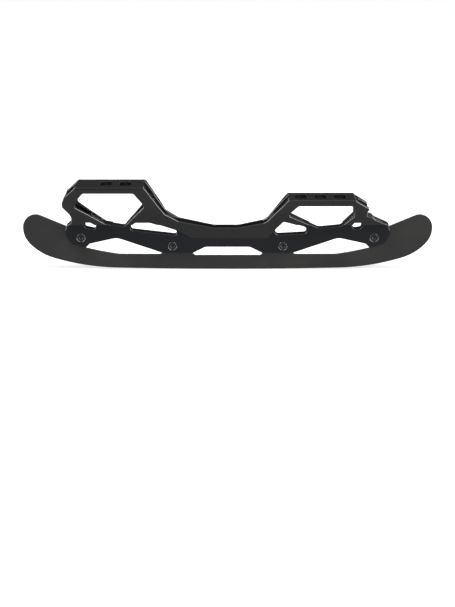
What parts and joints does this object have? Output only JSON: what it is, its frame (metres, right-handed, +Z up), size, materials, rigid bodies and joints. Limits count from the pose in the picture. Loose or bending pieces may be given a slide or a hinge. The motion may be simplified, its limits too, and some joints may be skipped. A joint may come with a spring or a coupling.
{
  "type": "skate blade holder",
  "caption": "Long-track speed skate holder: milled black aluminium frame with slotted heel and toe plates, and a long rockered steel blade clamped in its lower bar.",
  "frame": {"origin": "under the middle of the blade's length, on its ice edge at the rocker's lowest point", "axes": "+X towards the toe, +Y towards the far side, away from the screw heads, +Z up to the boot"},
  "size_m": [0.3156, 0.0434, 0.0664],
  "materials": {
    "anodised_frame": "satin black anodised",
    "blade_steel": "matte dark ground steel",
    "screw_steel": "blackened"
  },
  "bodies": {
    "root": {"holder_frame": "anodised_frame", "blade": "blade_steel", "clamp_screw_rear": "screw_steel", "clamp_screw_rear_inner": "screw_steel", "clamp_screw_front_inner": "screw_steel", "clamp_screw_front": "screw_steel", "sleeve_nut_rear": "screw_steel", "sleeve_nut_rear_inner": "screw_steel", "sleeve_nut_front_inner": "screw_steel", "sleeve_nut_front": "screw_steel"}
  },
  "joints": []
}
